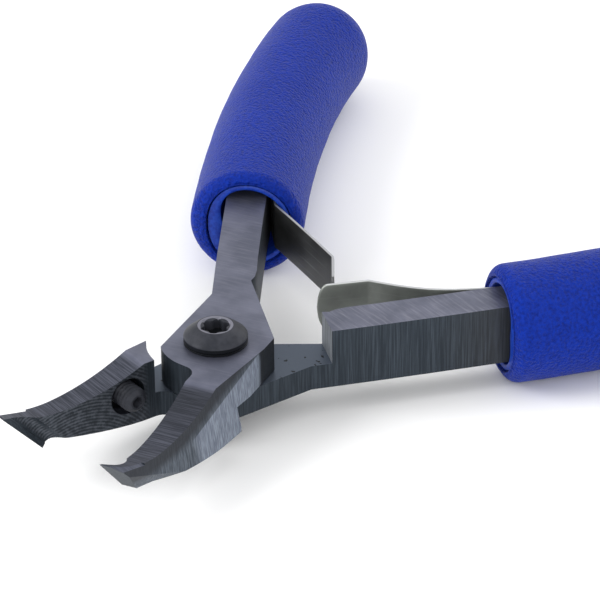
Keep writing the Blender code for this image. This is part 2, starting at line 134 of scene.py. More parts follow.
def loops_to_mesh(name, grid):
    """A closed mesh from a grid of points: rows are rings, columns go round.

    Both end rings are closed with a fan to their mean point.
    """
    rows, columns = grid.shape[:2]
    index = np.arange(rows * columns).reshape(rows, columns)
    nxt = np.roll(index, -1, axis=1)
    quads = np.stack([index[:-1], nxt[:-1], nxt[1:], index[1:]], -1).reshape(-1, 4)
    poles = np.stack([grid[0].mean(0), grid[-1].mean(0)])
    first, last = rows * columns, rows * columns + 1
    fan_a = np.stack([nxt[0], index[0], np.full(columns, first)], -1)
    fan_b = np.stack([index[-1], nxt[-1], np.full(columns, last)], -1)
    points = np.vstack([grid.reshape(-1, 3), poles]) * MM
    mesh = bpy.data.meshes.new(name)
    mesh.from_pydata(points.tolist(), [], quads.tolist() + fan_a.tolist() + fan_b.tolist())
    return mesh


def new_piece(name, mesh, sharp_angle=35.0):
    """An object whose faces point out, smooth up to the sharp angle in degrees."""
    work = bmesh.new()
    work.from_mesh(mesh)
    bmesh.ops.remove_doubles(work, verts=work.verts, dist=1e-7)
    bmesh.ops.recalc_face_normals(work, faces=work.faces)
    work.to_mesh(mesh)
    work.free()
    mesh.shade_smooth()
    mesh.set_sharp_from_angle(angle=math.radians(sharp_angle))
    piece = bpy.data.objects.new(name, mesh)
    bpy.context.scene.collection.objects.link(piece)
    return piece


def put(piece, body, slot, material, *nodes):
    """Gives a finished piece its finish and its body, and hides the solids that it stands for.
    """
    piece.data.materials.clear()
    piece.data.materials.append(material)
    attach(piece, body)
    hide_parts(*nodes)
    return piece


def smooth_path(corners, step, spread):
    """A path through corner points, every step mm, with corners rounded.

    The straight path is read at equal arc lengths and averaged over spread mm.
    """
    corners = np.array(corners, float)
    arc = np.concatenate([[0], np.cumsum(np.linalg.norm(np.diff(corners, axis=0), axis=1))])
    count = int(arc[-1] / step) + 1
    at = np.linspace(0, arc[-1], count)
    path = np.stack([np.interp(at, arc, corners[:, i]) for i in (0, 1)], -1)
    reach = max(1, int(spread / step / 2))
    kernel = np.hanning(2 * reach + 3)[1:-1]
    kernel /= kernel.sum()
    padded = np.vstack([2 * path[0] - path[reach:0:-1], path,
                        2 * path[-1] - path[-2:-reach - 2:-1]])
    return np.stack([np.convolve(padded[:, i], kernel, "valid") for i in (0, 1)], -1)


# ---------------------------------------------------------------- materials

class Value:
    """A shader socket that takes part in Python expressions."""

    def __init__(self, paint, socket):
        self.paint = paint
        self.socket = socket

    def _math(self, operation, a, b):
        return self.paint.node("ShaderNodeMath", {"operation": operation}, {0: a, 1: b})

    def __add__(self, other):
        return self._math("ADD", self, other)

    __radd__ = __add__

    def __sub__(self, other):
        return self._math("SUBTRACT", self, other)

    def __rsub__(self, other):
        return self._math("SUBTRACT", other, self)

    def __mul__(self, other):
        return self._math("MULTIPLY", self, other)

    __rmul__ = __mul__

    def __pow__(self, other):
        return self._math("POWER", self, other)


class Paint:
    """A material under construction."""

    def __init__(self, name, **fixed):
        self.material = bpy.data.materials.new(name)
        self.material.use_nodes = True
        self.tree = self.material.node_tree
        self.shader = self.tree.nodes["Principled BSDF"]
        for socket, value in fixed.items():
            self.shader.inputs[socket.replace("_", " ")].default_value = value
        self.place = self.node("ShaderNodeTexCoord", {}, {}, "Object")

    def node(self, kind, settings, inputs, output=0):
        made = self.tree.nodes.new(kind)
        for key, value in settings.items():
            setattr(made, key, value)
        for key, value in inputs.items():
            if isinstance(value, Value):
                self.tree.links.new(value.socket, made.inputs[key])
            else:
                made.inputs[key].default_value = value
        return Value(self, made.outputs[output])

    def noise(self, place, scale, detail=3.0, roughness=0.55):
        return self.node("ShaderNodeTexNoise", {},
                         {"Vector": place, "Scale": scale, "Detail": detail,
                          "Roughness": roughness})

    def stretch(self, place, scale, turn=(0.0, 0.0, 0.0)):
        return self.node("ShaderNodeMapping", {"vector_type": "POINT"},
                         {"Vector": place, "Rotation": turn, "Scale": scale})

    def parts(self, vector):
        return [self.node("ShaderNodeSeparateXYZ", {}, {0: vector}, i) for i in range(3)]

    def rise(self, value, low, high):
        """0 below low, 1 above high, smooth between; high under low turns it round."""
        return self.node("ShaderNodeMapRange", {"interpolation_type": "SMOOTHSTEP"},
                         {0: value, 1: low, 2: high, 3: 0.0, 4: 1.0})

    def band(self, value, low, high, soft):
        """1 between low and high, with soft edges."""
        return self.rise(value, low - soft, low) * self.rise(value, high + soft, high)

    def mix(self, factor, a, b):
        colours = {6: a if isinstance(a, Value) else (*a, 1.0),
                   7: b if isinstance(b, Value) else (*b, 1.0)}
        return self.node("ShaderNodeMix", {"data_type": "RGBA"}, {0: factor, **colours}, 2)

    def finish(self, colour, roughness, height=None, depth=0.00002, strength=1.0):
        """Links the varying inputs; depth is the bump's height in metres."""
        links = self.tree.links
        links.new(colour.socket, self.shader.inputs["Base Color"])
        if isinstance(roughness, Value):
            links.new(roughness.socket, self.shader.inputs["Roughness"])
        else:
            self.shader.inputs["Roughness"].default_value = roughness
        if height is not None:
            bump = self.node("ShaderNodeBump", {},
                             {"Strength": strength, "Distance": depth, "Height": height})
            links.new(bump.socket, self.shader.inputs["Normal"])
        return self.material


# Where each finish, painted shade and painted light on a lever begins and ends, in metres in
# the half's shut frame.
DISH_START = (-0.0119, -0.0135)        # y of the hollow grind's heel end
DISH_SHADE = (-0.026, -0.014)          # y over which painted shade darkens the near jaw's grind
BEHIND_STEP = (0.014, 0.018)           # y past which the top is worn more
FACET_HEIGHT = 0.0097                  # top of the milled facet at y = 0
FACET_SLOPE = 0.264
FACET_END = (-0.0192, -0.0165)         # y + 0.1 z where the facet fades towards the tip
FLANK_LOW = 0.0040                     # lowest z of the band of painted shade under the arris
PLATE_SIDE = (0.0, 0.0075)             # y of the lap plate's side wall
PLATE_HALF_WIDTH = 0.0095
CUTTER_CENTRE = (-0.024, -0.009)       # y, z that the inner face's arcs turn about
ARC_FREQUENCY = 12000.0                # radians per metre from that centre
POCKET_DEPTH = (0.0018, 0.0024)        # x where painted shade darkens the stop screw's pocket
FLUSH_DEPTH = (0.00035, 0.0002)        # x of the ground face by the edge
FLUSH_START = (-0.026, -0.0275)        # y of the same face
STEP_START = (0.012, 0.0135)           # y of the step behind the lap plate
LAP_HEIGHT = (0.0030, 0.0050)          # z of the lap surface


def lever_steel(word, look):
    """Black-oxide steel, ground in a different way on each kind of face, with painted shade and
    painted light on some faces.
    """
    paint = Paint(f"black_oxide_{word}", Metallic=0.75)
    side = SIDES[word]
    half = paint.stretch(paint.place, (1.0, 1.0, 1.0), (0.0, 0.0, -side * OPEN_HALF_ANGLE))
    x, y, z = paint.parts(half)
    x = x * side
    facing = paint.node("ShaderNodeTexCoord", {}, {}, "Normal")
    turned = paint.stretch(facing, (1.0, 1.0, 1.0), (0.0, 0.0, -side * OPEN_HALF_ANGLE))
    nx, ny, nz = paint.parts(turned)
    nx = nx * side

    top = paint.rise(nz, 0.72, 0.9)
    cloudy = paint.noise(paint.place, 140.0, 4.0)
    grain = paint.noise(paint.place, 2600.0, 4.0, 0.65)
    upright = paint.noise(paint.stretch(half, (4200.0, 4200.0, 120.0)), 1.0, 4.0, 0.6)
    diagonal = paint.noise(paint.stretch(half, (190.0, 2200.0, 1.0), (0.0, 0.0, 0.6)), 1.0, 4.0)
    across = paint.noise(paint.stretch(half, (120.0, 4600.0, 120.0)), 1.0, 4.0, 0.7)

    tops = paint.mix(paint.rise(cloudy, 0.3, 0.7), look.top_dark, look.top_light)
    behind_step = paint.rise(y, *BEHIND_STEP)
    waves = paint.rise(diagonal, 0.45, 0.72) * (0.12 + (0.3 if word == "lower" else 0.1)
                                               * behind_step)
    tops = paint.mix(waves, tops, look.worn_and_highlight)
    sides = paint.mix(paint.rise(upright, 0.35, 0.75), look.side_dark, look.side_light)
    sides = paint.mix(paint.rise(y, 0.028, 0.044) * 0.4, sides, look.warm)
    colour = paint.mix(top, sides, tops)

    # Hollow-ground top of the jaw: fine lines across it.
    dish = top * paint.rise(y, *DISH_START)
    ground = paint.mix(paint.rise(across, 0.38, 0.68), look.dish_dark, look.dish_light)
    colour = paint.mix(dish, colour, ground)
    # Painted shade: the near jaw's grind is darkened towards its heel.
    if word == "upper":
        shade = dish * paint.rise(y, *DISH_SHADE)
        colour = paint.mix(shade * 0.6, colour, look.screw_tone_and_shade)

    # Outer side of the jaw: streaked, with painted shade in a band under the arris, where the
    # real flank is hollow, and painted light on the milled facet low on the heel.
    flank = paint.rise(nx, 0.5, 0.8) * paint.rise(y, 0.0, -0.0015)
    milled = paint.mix(paint.rise(upright, 0.35, 0.7), look.flank_dark, look.flank_light)
    colour = paint.mix(flank, colour, milled)
    facet_edge = FACET_HEIGHT + FACET_SLOPE * y
    low_edge = paint.node("ShaderNodeMath", {"operation": "MAXIMUM"},
                          {0: facet_edge, 1: FLANK_LOW})
    # Painted shade: a band under the arris, where the real flank is hollow, is darkened.
    shade_under_arris = flank * paint.rise(z - low_edge, -0.0002, 0.0016)
    colour = paint.mix(shade_under_arris * 0.85, colour, look.screw_tone_and_shade)
    # Painted light: the milled facet low on the heel is lightened.
    facet = flank * paint.rise(facet_edge - z, -0.0001, 0.0001)
    facet = facet * paint.rise(y + 0.1 * z, *FACET_END)
    shine = paint.mix(paint.rise(upright, 0.35, 0.7), look.facet_highlight_dark, look.facet_highlight_light)
    colour = paint.mix(facet * 0.9, colour, shine)

    # Side wall of the lap plate: painted shade, as the wall stands in shadow.
    plate = paint.rise(nx, 0.5, 0.8) * paint.band(y, *PLATE_SIDE, 0.0008)
    plate = plate * paint.rise(PLATE_HALF_WIDTH - x, 0.0, 0.0005)
    colour = paint.mix(plate * 0.75, colour, look.shade_and_speck_black)

    # Inner side of the jaw: arcs left by a cutter whose centre lies outside the jaw.
    inner = paint.rise(nx, -0.75, -0.93) * paint.rise(y, -0.011, -0.0125)
    dy = y - CUTTER_CENTRE[0]
    dz = z - CUTTER_CENTRE[1]
    swept = (dy * dy + dz * dz) ** 0.5
    swept = swept + 0.0002 * cloudy
    ring = paint.node("ShaderNodeMath", {"operation": "SINE"}, {0: swept * ARC_FREQUENCY})
    arcs = ring * 0.14 + paint.noise(half, 1500.0, 3.0)
    cut = paint.mix(paint.rise(arcs, 0.3, 0.8), look.inner_dark, look.inner_light)
    # Painted shade deep in the stop screw's pocket.
    pocket = inner * paint.rise(x, *POCKET_DEPTH)
    colour = paint.mix(inner, colour, cut)
    colour = paint.mix(pocket, colour, look.shade_and_speck_black)

    # The flush face itself is freshly ground.
    flush = paint.rise(nx, -0.75, -0.93) * paint.rise(x, *FLUSH_DEPTH)
    flush = flush * paint.rise(y, *FLUSH_START)
    colour = paint.mix(flush, colour, look.bright)

    # Step face behind the lap plate: light, with upright streaks.
    step = paint.rise(ny, -0.8, -0.9) * paint.rise(y, *STEP_START)
    colour = paint.mix(step * paint.rise(upright, 0.2, 0.6) * 0.8, colour, look.step)

    # Lap surface: rubbed, with a few dark specks.
    lap = top * paint.band(z, *LAP_HEIGHT, 0.0002) * paint.rise(y, -0.0115, -0.0105)
    specks = paint.rise(paint.noise(paint.place, 850.0, 2.0), 0.31, 0.35)
    rubbing_and_highlight = paint.mix(specks, look.shade_and_speck_black, look.lap)
    colour = paint.mix(lap, colour, rubbing_and_highlight)

    roughness = 0.5 - 0.12 * top + 0.1 * grain - 0.14 * flush + 0.14 * step + 0.1 * dish
    height = upright * (1 - top) * 0.5 + grain * 0.4 + across * dish * 0.7
    height = height + diagonal * top * behind_step * 0.9 + arcs * inner * 0.9
    return paint.finish(colour, roughness, height, 0.000014, 0.8)


def screw_steel(look):
    """Black screws: satin, with a painted highlight on the chamfer round the socket, and
    painted shade on the washer and the head's side below its rim.
    """
    paint = Paint("black_screw", Metallic=0.1, Specular_IOR_Level=0.12)
    grain = paint.noise(paint.place, 1800.0, 4.0)
    cloud = paint.noise(paint.place, 300.0, 3.0)
    x, y, z = paint.parts(paint.place)
    colour = paint.mix(paint.rise(cloud, 0.35, 0.7), look.screw_light, look.screw_tone_and_shade)
    from_axis = (x * x + y * y) ** 0.5
    # Painted shade: the washer and the head's side below its rim are darkened nearly to black.
    shade_under_head = paint.rise(z, 0.01075, 0.01065) * paint.rise(z, 0.0095, 0.0096)
    # Painted highlight: the chamfer round the socket is lightened.
    rubbing_and_highlight = paint.band(from_axis, 0.00222, 0.00262, 0.00004) * paint.rise(z, 0.0118, 0.012)
    colour = paint.mix(shade_under_head, colour, look.shade_and_speck_black)
    colour = paint.mix(rubbing_and_highlight * 0.45, colour, look.worn_and_highlight)
    return paint.finish(colour, 0.36 + 0.16 * grain, grain, 0.000006, 0.6)


def spring_steel(word, look):
    """Satin strip steel with rolling lines along the strip, a painted highlight on its top
    edge, and the lower leaf painted lighter than the upper.
    """
    # Painted light: the two leaves are one steel, and the lower leaf's base is painted about
    # three times lighter than the upper's.
    tint = look.spring_green if word == "lower" else look.spring_grey
    paint = Paint(f"spring_steel_{word}", Metallic=0.9)
    along = paint.noise(paint.stretch(paint.place, (60.0, 60.0, 3200.0)), 1.0, 4.0)
    cloud = paint.noise(paint.place, 160.0, 4.0)
    worn_and_highlight = [channel * 1.45 for channel in tint]
    colour = paint.mix(paint.rise(cloud, 0.3, 0.75), tint, worn_and_highlight)
    colour = paint.mix(paint.rise(along, 0.58, 0.75) * 0.12, colour, look.bright)
    z = paint.parts(paint.place)[2]
    # Painted highlight along the leaf's top edge.
    edge = paint.rise(z, 0.00857, 0.00866)
    colour = paint.mix(edge * 0.6, colour, look.bright)
    return paint.finish(colour, 0.36 + 0.2 * cloud, along, 0.000006, 0.6)


def foam_skin(look):
    """Foam with a fine pebbled skin: cells with wrinkles between them."""
    paint = Paint("grip_foam", Sheen_Weight=0.1, Sheen_Roughness=0.3,
                  Specular_IOR_Level=0.1)
    paint.shader.inputs["Sheen Tint"].default_value = (0.4, 0.45, 1.0, 1.0)
    wrinkle = paint.noise(paint.place, 1900.0, 4.0, 0.6)
    cells = paint.node("ShaderNodeTexVoronoi", {"feature": "SMOOTH_F1"},
                       {"Vector": paint.place, "Scale": 2100.0, "Smoothness": 0.6})
    cloud = paint.noise(paint.place, 70.0, 3.0)
    colour = paint.mix(paint.rise(wrinkle, 0.3, 0.66), look.foam_dark, look.foam_light)
    colour = paint.mix(paint.rise(cloud, 0.35, 0.7) * 0.15, colour, look.foam_dark)
    height = (1 - cells) * 0.35 + wrinkle
    return paint.finish(colour, 0.36 + 0.2 * wrinkle, height, 0.0006, 1.0)


def liner_skin(look):
    """Smooth inner sleeve with faint lengthwise drag lines."""
    paint = Paint("grip_liner", Specular_IOR_Level=0.3)
    fine = paint.noise(paint.place, 1500.0, 3.0)
    colour = paint.mix(paint.rise(fine, 0.3, 0.7), look.liner_dark, look.liner_light)
    return paint.finish(colour, 0.42 + 0.1 * fine, fine, 0.00001, 0.5)


# ---------------------------------------------------------------- settings

def colour_property(name, default):
    return FloatVectorProperty(name=name, description=f"Linear colour: {name.lower()}",
                               subtype="COLOR", size=3, min=0.0, max=1.0, default=default)


def length_property(name, description, default):
    return FloatProperty(name=name, description=description, default=default,
                         min=0.0, subtype="DISTANCE", unit="LENGTH")


class PliersLook(bpy.types.PropertyGroup):
    """Colours of every finish, and of the painted shade and painted light, as linear values."""

    top_dark: colour_property("Top face, dark", (0.10, 0.108, 0.15))
    top_light: colour_property("Top face, light", (0.16, 0.168, 0.225))
    side_dark: colour_property("Side face, dark", (0.020, 0.027, 0.036))
    side_light: colour_property("Side face, light", (0.050, 0.063, 0.080))
    warm: colour_property("Side face by the grip", (0.055, 0.050, 0.045))
    dish_dark: colour_property("Hollow grind, dark", (0.030, 0.034, 0.048))
    dish_light: colour_property("Hollow grind, light", (0.095, 0.102, 0.135))
    flank_dark: colour_property("Jaw side, dark", (0.045, 0.056, 0.072))
    flank_light: colour_property("Jaw side, light", (0.12, 0.14, 0.17))
    lap: colour_property("Lap surface", (0.085, 0.105, 0.14))
    # Worn steel on the lever tops, and a painted highlight on the pivot screw's socket chamfer.
    worn_and_highlight: colour_property("Worn steel", (0.30, 0.30, 0.36))
    # Painted light on the milled facet of the jaw side.
    facet_highlight_dark: colour_property("Milled jaw side, dark", (0.14, 0.16, 0.21))
    facet_highlight_light: colour_property("Milled jaw side, light", (0.27, 0.31, 0.37))
    inner_dark: colour_property("Inner jaw face, dark", (0.02, 0.025, 0.032))
    inner_light: colour_property("Inner jaw face, light", (0.085, 0.095, 0.115))
    # Freshly ground steel on the flush face and rolling lines, and a painted highlight on the
    # leaves' top edges.
    bright: colour_property("Freshly ground steel", (0.72, 0.73, 0.76))
    step: colour_property("Step face", (0.34, 0.36, 0.39))
    # Painted shade on the levers and screws, and the dark specks on the lap surface.
    shade_and_speck_black: colour_property("Screw, shadowed", (0.006, 0.007, 0.009))
    # The screws' own dark tone, also used as painted shade on the jaws.
    screw_tone_and_shade: colour_property("Screw, dark", (0.020, 0.022, 0.028))
    screw_light: colour_property("Screw, light", (0.040, 0.042, 0.052))
    # One spring steel, lit and shaded: the lower leaf is painted lighter than the upper.
    spring_grey: colour_property("Upper spring", (0.085, 0.087, 0.09))
    spring_green: colour_property("Lower spring", (0.27, 0.285, 0.265))
    foam_dark: colour_property("Foam, dark", (0.001, 0.014, 0.19))
    foam_light: colour_property("Foam, light", (0.002, 0.027, 0.33))
    liner_dark: colour_property("Liner, dark", (0.002, 0.022, 0.26))
    liner_light: colour_property("Liner, light", (0.008, 0.05, 0.40))
    floor: colour_property("Floor", (0.96, 0.96, 0.96))


class PliersSizes(bpy.types.PropertyGroup):
    """Sizes that the solids leave open, in metres."""

    edge_round: length_property("Edge rounding", "Broken edge on the levers", 0.00016)
    rim_round: length_property("Rim rounding", "Radius of the grip's rolled mouth", 0.0019)
    foam_radius: length_property("Foam radius", "Outer radius of a grip", 0.0092)
    groove_radius: length_property("Groove radius", "Foam bore behind the rim", 0.0074)
    liner_radius: length_property("Liner radius", "Outer radius of the liner", 0.0072)
    liner_bore: length_property("Liner bore", "Radius of the liner's opening", 0.0063)
    strip_thickness: length_property("Spring thickness", "Thickness of a leaf", 0.0005)
    strip_height: length_property("Spring width", "Width of a leaf", 0.0078)
    thread_pitch: length_property("Stop screw pitch", "Distance between threads", 0.0007)


# ---------------------------------------------------------------- levers

MERGE_DISTANCE = 2e-6                  # metres
FLAT_ANGLE = math.radians(0.6)         # faces closer than this are joined
SHARP_ANGLE = math.radians(22.0)
BEVEL_ANGLE = math.radians(24.0)


def lever_copy(name, node, edge_round):
    """The lever's solid with its loose triangles merged and its edges broken."""
    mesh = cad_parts[node].data.copy()
    mesh.name = name
    work = bmesh.new()
    work.from_mesh(mesh)
    bmesh.ops.remove_doubles(work, verts=work.verts, dist=MERGE_DISTANCE)
    bmesh.ops.dissolve_limit(work, angle_limit=FLAT_ANGLE, verts=work.verts,
                             edges=work.edges)
    work.to_mesh(mesh)
    work.free()
    mesh.shade_smooth()
    mesh.set_sharp_from_angle(angle=SHARP_ANGLE)
    piece = bpy.data.objects.new(name, mesh)
    bpy.context.scene.collection.objects.link(piece)
    bevel = piece.modifiers.new("broken_edges", "BEVEL")
    bevel.width = edge_round
    bevel.segments = 2
    bevel.limit_method = "ANGLE"
    bevel.angle_limit = BEVEL_ANGLE
    bevel.use_clamp_overlap = True
    bevel.harden_normals = True
    return piece


class PLIERS_OT_levers(bpy.types.Operator):
    """Both levers, with broken edges, their ground and milled finishes, and painted shade and
    painted light.
    """

    bl_idname = "pliers.levers"
    bl_label = "Levers"

    def execute(self, context):
        sizes, look = context.scene.pliers_sizes, context.scene.pliers_look
        for word in SIDES:
            piece = lever_copy(f"{word}_lever", f"lever_{word}", sizes.edge_round)
            put(piece, f"{word}_half", "black_oxide_steel", lever_steel(word, look),
                f"lever_{word}")
        return {"FINISHED"}


# ---------------------------------------------------------------- screws

def lathe_rings(rings, columns):
    """Rings of points round Z from rows of (radius, height, lobe).

    A ring's radius is radius + lobe x cos(6 x angle), so a lobe above 0 gives a star.
    """
    angle = np.linspace(0, 2 * np.pi, columns, endpoint=False)
    radius, height, lobe = np.array(rings, float).T[:, :, None]
    r = radius + lobe * np.cos(6 * angle)
    return np.stack([r * np.cos(angle), r * np.sin(angle), height + 0 * r], -1)


def pivot_rings():
    """Profile of the pivot screw from its lower end up, over the dome, into the socket."""
    seat, top, rim = WASHER_TOP + 0.05, WASHER_TOP + 2.4, WASHER_TOP + 0.85
    rings = [(2.0, 0.02, 0), (2.2, 0.04, 0), (2.5, 0.3, 0), (2.5, seat, 0)]
    rings += [(HEAD_RADIUS - 0.15, seat, 0), (HEAD_RADIUS, seat + 0.12, 0)]
    rings += [(HEAD_RADIUS, rim - 0.08, 0), (HEAD_RADIUS - 0.08, rim + 0.05, 0)]
    share = np.linspace(0.05, 1.0, 14)
    dome_r = HEAD_RADIUS - (HEAD_RADIUS - 2.75) * share
    dome_z = rim + (top - rim) * (0.75 * share + 0.25 * np.sin(share * np.pi / 2))
    rings += [(r, z, 0) for r, z in zip(dome_r, dome_z)]
    rings += [(2.62, top, 0), (2.4, top - 0.03, 0.03), (2.15, top - 0.14, 0.22)]
    rings += [(1.95, top - 0.28, 0.28), (1.92, top - 0.5, 0.28), (1.92, top - 1.7, 0.28)]
    rings += [(1.85, top - 1.78, 0.26), (0.9, top - 1.95, 0.0)]
    return rings


class PLIERS_OT_pivot(bpy.types.Operator):
    """Pivot screw with its six-lobe socket, and the washer under its head."""

    bl_idname = "pliers.pivot"
    bl_label = "Pivot screw"

    def execute(self, context):
        material = screw_steel(context.scene.pliers_look)
        grid = lathe_rings(pivot_rings(), 144)
        screw = new_piece("pivot_button_screw", loops_to_mesh("pivot_button_screw", grid), 28)
        put(screw, "lower_half", "black_screw", material, "pivot_screw")
        low, high = THICKNESS + 0.03, WASHER_TOP
        section = [(2.57, low, 0), (4.6, low, 0), (HEAD_RADIUS, low + 0.1, 0)]
        section += [(HEAD_RADIUS, high - 0.1, 0), (4.6, high, 0), (2.57, high, 0)]
        ring = lathe_rings(section, 96)
        rows, columns = ring.shape[:2]
        index = np.arange(rows * columns).reshape(rows, columns)
        other = np.roll(index, -1, axis=0)
        faces = np.stack([index, np.roll(index, -1, 1), np.roll(other, -1, 1), other], -1)
        mesh = bpy.data.meshes.new("pivot_washer_ring")
        mesh.from_pydata((ring.reshape(-1, 3) * MM).tolist(), [], faces.reshape(-1, 4).tolist())
        washer = new_piece("pivot_washer_ring", mesh)
        put(washer, "lower_half", "black_screw", material, "pivot_washer")
        return {"FINISHED"}


def threaded_rings(length, radius, pitch, columns):
    """A threaded stud along Z, ending at 0, with a hexagon socket in that end.

    Radius = nominal - depth x |2 x frac(z / pitch - angle / turn) - 1|, held inside a
    chamfer cone at both ends; the socket's radius is the flat distance over the cosine.
    """
    angle = np.linspace(0, 2 * np.pi, columns, endpoint=False)
    z = np.linspace(-length, 0.0, int(length / pitch * 10) + 1)[:, None]
    phase = (z / pitch - angle / (2 * np.pi)) % 1.0
    depth = pitch * 0.55
    r = radius - depth * np.abs(2 * phase - 1)
    cone = radius - 0.85 + np.minimum(-z, z + length)
    r = np.minimum(r, np.maximum(cone, 0.3))
    flat = 0.75 / np.cos((angle % (np.pi / 3)) - np.pi / 6)
    inner_z = np.array([0.0, -0.12, -1.5])[:, None]
    inner_r = np.stack([flat + 0.1, flat, flat])
    r = np.vstack([r, inner_r])
    z = np.vstack([z, inner_z]) + 0 * r
    return np.stack([r * np.cos(angle), r * np.sin(angle), z], -1)


class PLIERS_OT_stop(bpy.types.Operator):
    """Stop screw across the lower jaw, with a real helical thread."""

    bl_idname = "pliers.stop"
    bl_label = "Stop screw"

    def execute(self, context):
        pitch = context.scene.pliers_sizes.thread_pitch / MM
        rings = threaded_rings(6.0, 2.0, pitch, 72)
        across = np.stack([-(rings[..., 2] + 0.85), rings[..., 1] - 14.5,
                           rings[..., 0] + 4.8], -1)
        across[..., 0] *= -1
        turn = -OPEN_HALF_ANGLE
        c, s = math.cos(turn), math.sin(turn)
        placed = np.stack([across[..., 0] * c - across[..., 1] * s,
                           across[..., 0] * s + across[..., 1] * c, across[..., 2]], -1)
        screw = new_piece("stop_set_screw", loops_to_mesh("stop_set_screw", placed), 40)
        put(screw, "stop", "black_screw", screw_steel(context.scene.pliers_look), "stop_screw")
        return {"FINISHED"}


# ---------------------------------------------------------------- springs

LEAF_HINGE = (10.9, 43.7)
LEAVES = {                             # bend, tip and bow of each leaf
    "upper": ((-4.45, 31.9), (-7.6, 25.0), 0.1),
    "lower": ((-2.35, 29.9), (-5.7, 22.7), -1.5),
}
LEAF_OFFSET = 0.55                     # strip's middle from the bar's inner face
END_ARC = 1.7                          # length of the rounded end of a leaf


def leaf_centre(word):
    """The strip's middle line: along the bar in the grip, a shallow bow, then the bent tip."""
    bend, tip, bulge = (np.array(value) for value in LEAVES[word])
    offset = BAR_WIDTH / 2 + LEAF_OFFSET
    points, tangents = centre_line(np.array([17.0, 13.0, 9.0, 5.5]))
    inner = points + np.stack([-tangents[:, 1], tangents[:, 0]], -1) * offset
    hinge = np.array(LEAF_HINGE)
    run = bend - hinge
    normal = np.array([run[1], -run[0]]) / np.linalg.norm(run)
    share = np.linspace(0, 1, 14)[:, None]
    bow = hinge + run * share + normal * bulge * np.sin(np.pi * share)
    return smooth_path(np.vstack([inner, bow, tip[None]]), 0.16, 0.9)


def leaf_grid(word, thickness, height):
    """A flat strip carried along its middle line, with rounded edges and a round end.

    The section is a superellipse, thickness by height; towards the tip its height
    falls off as a superellipse that gives a shallow arc with small corners.
    """
    path = leaf_centre(word)
    step = np.gradient(path, axis=0)
    tangent = step / np.linalg.norm(step, axis=1, keepdims=True)
    normal = np.stack([-tangent[:, 1], tangent[:, 0]], -1)
    arc = np.concatenate([[0], np.cumsum(np.linalg.norm(np.diff(path, axis=0), axis=1))])
    left = np.clip((arc[-1] - arc) / END_ARC, 0.0, 1.0)
    reach = np.clip(1 - (1 - left) ** 2.2, 0.0004, 1.0) ** 0.5
    angle = np.linspace(0, 2 * np.pi, 32, endpoint=False)
    power = 0.28
    u = np.sign(np.cos(angle)) * np.abs(np.cos(angle)) ** power * thickness / 2
    v = np.sign(np.sin(angle)) * np.abs(np.sin(angle)) ** power * height / 2
    plan = path[:, None] + normal[:, None] * u[None, :, None]
    z = MID_HEIGHT + reach[:, None] * v[None]
    return np.concatenate([plan, z[..., None]], -1)


class PLIERS_OT_springs(bpy.types.Operator):
    """Two opposed leaf springs, bent towards each other and a little apart at rest."""

    bl_idname = "pliers.springs"
    bl_label = "Leaf springs"

    def execute(self, context):
        sizes, look = context.scene.pliers_sizes, context.scene.pliers_look
        for word in SIDES:
            grid = leaf_grid(word, sizes.strip_thickness / MM, sizes.strip_height / MM)
            name = f"leaf_spring_{word}"
            piece = new_piece(name, loops_to_mesh(name, to_world(grid, word)), 50)
            piece.data.materials.append(spring_steel(word, look))
            hinge = to_world([[*LEAF_HINGE, MID_HEIGHT]], word)[0] * MM
            bend = np.array([*LEAVES[word][0], MID_HEIGHT])
            beyond = to_world([bend * 0.85 + np.array([*LEAF_HINGE, MID_HEIGHT]) * 0.15], word)
            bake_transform(piece)
            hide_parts(f"leaf_blade_{word}", f"leaf_root_{word}")
            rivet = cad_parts[f"leaf_rivet_{word}"]
            rivet.data.materials.clear()
            rivet.data.materials.append(piece.data.materials[0])
        return {"FINISHED"}


# ---------------------------------------------------------------- grips

def sleeve_grid(profile, columns, waver):
    """A turned profile carried along the handle's centre line.

    profile rows are (distance from the mouth, radius). The radius wavers by a sum of
    slow sines of distance and angle, as moulded foam does. Near the mouth
    the bore hugs the bar: its outer side is drawn in by a share x cos(angle) cubed,
    and the share falls off as the row's radius nears the foam's own.
    """
    distance, radius = np.array(profile, float).T
    points, tangents = centre_line(distance)
    angle = np.linspace(0, 2 * np.pi, columns, endpoint=False)[None]
    d = distance[:, None]
    swell = np.sin(0.21 * d + 2 * angle) + 0.6 * np.sin(0.47 * d - 3 * angle + 1.3)
    swell = swell + 0.4 * np.sin(0.9 * d + 5 * angle + 0.7)
    r = radius[:, None] * (1 - waver + waver * swell / 2)
    share = np.interp(radius, PINCH_AT, PINCH) * np.clip((60.0 - distance) / 5.0, 0.0, 1.0)
    r = r * (1 - share[:, None] * np.clip(np.cos(angle), 0.0, 1.0) ** 3)
    across = np.stack([tangents[:, 1], -tangents[:, 0]], -1)
    plan = points[:, None] + across[:, None] * (r * np.cos(angle))[..., None]
    z = MID_HEIGHT + r * np.sin(angle)
    return np.concatenate([plan, z[..., None]], -1)


PINCH_AT = (6.5, 7.1, 7.6, 9.2)        # radii, and how far each is drawn in
PINCH = (0.38, 0.13, 0.12, 0.0)


